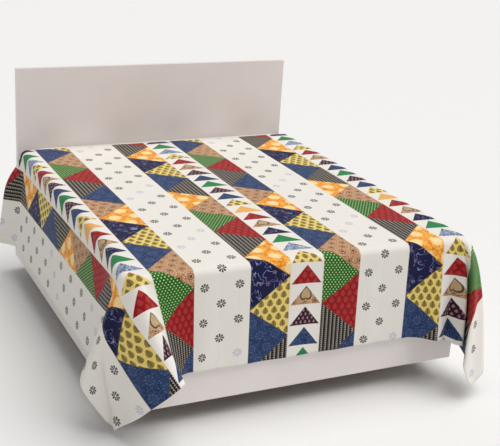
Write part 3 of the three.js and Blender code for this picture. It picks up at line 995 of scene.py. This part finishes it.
class SheetLook(bpy.types.PropertyGroup):
    """Sizes and colours of the cloth."""

    thickness: bpy.props.FloatProperty(
        name="Thickness",
        description="Thickness of the cloth",
        default=0.002,
        min=0.001,
        max=0.003,
        unit="LENGTH",
    )
    wrinkle_depth: bpy.props.FloatProperty(
        name="Wrinkle depth",
        description="How deep the soft waves of the hanging cloth are",
        default=0.004,
        min=0,
        max=0.008,
        unit="LENGTH",
    )
    white: colour_setting("White", "Ground of the print", linear("f1ede6"))
    blue: colour_setting("Blue", "Denim blue patches", linear("162d5a"))
    navy: colour_setting("Navy", "Navy patches", linear("0a1040"))
    tan: colour_setting("Tan", "Tan patches", linear("b98a60"))
    green: colour_setting("Green", "Bright green patches", linear("1d6a1a"))
    red: colour_setting("Red", "Deep red patches", linear("980510"))
    yellow: colour_setting("Yellow", "Yellow patches", linear("efd57c"))
    orange: colour_setting("Orange", "Orange patches", linear("ee8712"))


class BedLook(bpy.types.PropertyGroup):
    """Colours of the bed and the stage."""

    paint: colour_setting("Paint", "Paint of the base and headboard", linear("f4ecea"))
    floor: colour_setting("Floor", "Pale studio floor", linear("f4f4f4"))


FLOOR_HALF_WIDTH = 150.0
SKY_STRENGTH = 0.34
KEY_ENERGY = 2.3
KEY_ANGLE = 60  # degrees across, which makes its shadows soft
KEY_AIM = Vector((-0.30, 0.10, -0.72))  # which way it shines


class BEDSHEET_OT_stage(bpy.types.Operator):
    """Make the floor, the studio lights and the camera"""

    bl_idname = "bed_sheet.stage"
    bl_label = "Stage"

    def execute(self, context):
        scene = context.scene
        look = scene.bed_look
        scene.view_settings.view_transform = "Standard"
        half = FLOOR_HALF_WIDTH
        corners = np.array([(-half, -half, 0), (half, -half, 0), (half, half, 0), (-half, half, 0)])
        material, _, shader = new_material("studio_floor")
        shader.inputs["Base Color"].default_value = (*look.floor, 1)
        shader.inputs["Roughness"].default_value = 0.9
        floor = add_piece("floor", corners, [(0, 1, 2, 3)], [material], smooth=False)

        world = bpy.data.worlds.new("studio")
        world.use_nodes = True
        back = world.node_tree.nodes["Background"]
        back.inputs["Color"].default_value = (1.0, 0.99, 0.975, 1)
        back.inputs["Strength"].default_value = SKY_STRENGTH
        scene.world = world
        lamp = bpy.data.lights.new("key_light", "SUN")
        lamp.energy = KEY_ENERGY
        lamp.angle = math.radians(KEY_ANGLE)
        lamp.color = (1.0, 0.985, 0.965)
        light = bpy.data.objects.new("key_light", lamp)
        scene.collection.objects.link(light)
        light.matrix_world = KEY_AIM.to_track_quat("-Z", "Y").to_matrix().to_4x4()
        add_camera(scene)
        return {"FINISHED"}


# The camera's place from the cloth's origin, its turns in degrees and its lens in millimetres.
CAMERA_FROM_CLOTH = Vector((-2.0488, -3.5144, 1.5892))
CAMERA_YAW = -26.51
CAMERA_PITCH = 19.74
CAMERA_ROLL = 3.67
CAMERA_LENS = 75.25


def add_camera(scene):
    """A camera at the left of the foot, turned by yaw about Z, tipped down, then rolled."""
    yaw, pitch, roll = (math.radians(a) for a in (CAMERA_YAW, CAMERA_PITCH, CAMERA_ROLL))
    forward = Vector(
        (-math.sin(yaw) * math.cos(pitch), math.cos(yaw) * math.cos(pitch), -math.sin(pitch))
    )
    level = Vector((math.cos(yaw), math.sin(yaw), 0))
    up = level.cross(forward)
    right = math.cos(roll) * level + math.sin(roll) * up
    top = -math.sin(roll) * level + math.cos(roll) * up
    turn = Matrix((right, top, -forward)).transposed().to_4x4()
    data = bpy.data.cameras.new("camera")
    data.lens = CAMERA_LENS
    data.sensor_width = 36.0
    camera = bpy.data.objects.new("camera", data)
    scene.collection.objects.link(camera)
    camera.matrix_world = Matrix.Translation(CLOTH_ORIGIN + CAMERA_FROM_CLOTH) @ turn
    scene.camera = camera


class BEDSHEET_OT_sheet(bpy.types.Operator):
    """Make the patchwork sheet, draped over the bed with folds at the two foot corners"""

    bl_idname = "bed_sheet.sheet"
    bl_label = "Sheet"

    def execute(self, context):
        look = context.scene.sheet_look
        u, v = sheet_grid()
        points = cloth_surface(u, dragged(u, v))
        normals = grid_normals(points)
        points = points + normals * wrinkles(u, v, look.wrinkle_depth)[..., None]
        points = points + np.array(CLOTH_ORIGIN)
        group = patchwork_group(look)
        outside = cotton_material("cotton_print", group, False)
        inside = cotton_material("cotton_reverse", group, True)
        rows, columns = u.shape
        piece = add_piece("bed_sheet", points, grid_faces(rows, columns), [outside, inside])
        add_flat_map(piece, "cut", u, v)
        add_flat_map(piece, "printed", u, v + print_slip(u, v))
        solid = piece.modifiers.new("thickness", "SOLIDIFY")
        solid.thickness = look.thickness
        solid.offset = 0.0
        solid.material_offset = 1
        solid.material_offset_rim = 0
        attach(piece, "root")
        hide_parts("sheet")
        return {"FINISHED"}


class BEDSHEET_OT_mattress(bpy.types.Operator):
    """Make the mattress under the sheet"""

    bl_idname = "bed_sheet.mattress"
    bl_label = "Mattress"

    def execute(self, context):
        material = ticking_material("ticking")
        low, high = MATTRESS_BOX
        piece = add_piece("mattress_pad", *mattress_surface(low, high), [material])
        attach(piece, "root")
        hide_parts("mattress")
        return {"FINISHED"}


PAD_CORNER = 0.144  # radius of the outline's corners
PAD_EDGE = 0.022  # radius between a panel and the side
PAD_PIPING = 0.004
PAD_SEAM_INSET = 0.006  # how far a seam lies inside the outline
PAD_SIDE_INSET = 0.007  # the same for the side at its top
PAD_BELLY = 0.005  # and how far the side swells back out
PAD_SIDE_BELOW = 0.014  # from a seam to the start of the side
PAD_PANEL = (0.60, 0.30, 0.12, 0.05)  # how far inside the outline a panel's rings lie
PAD_HALF_PANEL = 0.75


def mattress_surface(low, high):
    """A closed pad: a rounded outline carried down a side profile, closed by flat panels.

    The outline is a rectangle with round corners. The profile goes from the middle of the top
    panel out to the edge, round a piped seam, down a slightly bellied side, round the lower
    seam, and back to the middle.
    """
    width, length, height = high.x - low.x, high.y - low.y, high.z - low.z
    straight = np.array([width / 2 - PAD_CORNER, length / 2 - PAD_CORNER])
    angles = np.linspace(0, math.pi / 2, 17)
    ring = []
    for k, quarter in enumerate(((1, 1), (-1, 1), (-1, -1), (1, -1))):
        turn = angles + k * math.pi / 2
        ring.append(straight * quarter + PAD_CORNER * np.stack([np.cos(turn), np.sin(turn)], -1))
    ring = np.concatenate(ring)
    outward = ring - np.clip(ring, -straight, straight)
    outward /= np.linalg.norm(outward, axis=-1, keepdims=True)
    # The profile: how far inside the outline, and how high, both in metres.
    edge, pipe = PAD_EDGE, PAD_PIPING
    arc = np.linspace(0, math.pi / 2, 6)
    bead = np.linspace(0.15 * math.pi, 0.85 * math.pi, 6)
    seam_high = height - edge
    upper_in = np.concatenate([PAD_PANEL, PAD_SEAM_INSET + edge - edge * np.sin(arc)])
    upper_z = np.concatenate([[height] * len(PAD_PANEL), height - edge + edge * np.cos(arc)])
    bead_in = PAD_SEAM_INSET - PAD_SEAM_INSET * np.sin(bead)
    bead_z = seam_high - pipe - pipe * (1 - np.cos(bead))
    side = np.linspace(0, 1, 7)
    side_in = PAD_SIDE_INSET - PAD_BELLY * np.sin(math.pi * side)
    side_top = seam_high - PAD_SIDE_BELOW
    side_z = side_top + side * (height - 2 * side_top)
    inset = np.concatenate([upper_in, bead_in, side_in, bead_in[::-1], upper_in[::-1]])
    z = np.concatenate([upper_z, bead_z, side_z, height - bead_z[::-1], height - upper_z[::-1]])
    points = np.zeros((len(z), len(ring), 3))
    points[..., :2] = ring[None] - outward[None] * inset[:, None, None]
    # The rings in the middle of a panel are smaller copies of the whole outline.
    far = inset > 0.10
    scale = 1 - inset[far] / PAD_HALF_PANEL
    points[far, :, :2] = ring[None] * scale[:, None, None]
    points[..., 2] = z[:, None]
    points += np.array([(low.x + high.x) / 2, (low.y + high.y) / 2, low.z])
    rows, columns = points.shape[:2]
    faces = grid_faces(rows, columns, close_across=True).tolist()
    faces.append(list(range(columns)))
    faces.append(list(range((rows - 1) * columns, rows * columns))[::-1])
    return points, faces


class BEDSHEET_OT_bed(bpy.types.Operator):
    """Finish the base, the posts and the headboard"""

    bl_idname = "bed_sheet.bed"
    bl_label = "Bed"

    def execute(self, context):
        paint = board_material("pale_board", tuple(context.scene.bed_look.paint))
        timber = timber_material("timber")
        for name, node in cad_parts.items():
            if name in ("sheet", "mattress"):
                continue
            painted = name.startswith("base") or name == "headboard"
            node.data.materials.clear()
            node.data.materials.append(paint if painted else timber)
        return {"FINISHED"}


class BEDSHEET_PT_panel(bpy.types.Panel):
    """The pieces of the made bed"""

    bl_idname = "BEDSHEET_PT_panel"
    bl_label = "Bed Sheet"
    bl_space_type = "VIEW_3D"
    bl_region_type = "UI"
    bl_category = "Bed Sheet"

    def draw(self, context):
        for settings in (context.scene.sheet_look, context.scene.bed_look):
            for name in settings.__annotations__:
                self.layout.prop(settings, name)
        for maker in MAKERS:
            self.layout.operator(maker.bl_idname)


MAKERS = (BEDSHEET_OT_stage, BEDSHEET_OT_sheet, BEDSHEET_OT_mattress, BEDSHEET_OT_bed)
CLASSES = (SheetLook, BedLook, *MAKERS, BEDSHEET_PT_panel)


def register():
    for each in CLASSES:
        bpy.utils.register_class(each)
    bpy.types.Scene.sheet_look = bpy.props.PointerProperty(type=SheetLook)
    bpy.types.Scene.bed_look = bpy.props.PointerProperty(type=BedLook)


def unregister():
    del bpy.types.Scene.sheet_look
    del bpy.types.Scene.bed_look
    for each in reversed(CLASSES):
        bpy.utils.unregister_class(each)


def main():
    register()
    bpy.ops.bed_sheet.stage()
    bpy.ops.bed_sheet.sheet()
    bpy.ops.bed_sheet.mattress()
    bpy.ops.bed_sheet.bed()


if __name__ == "__main__":
    main()
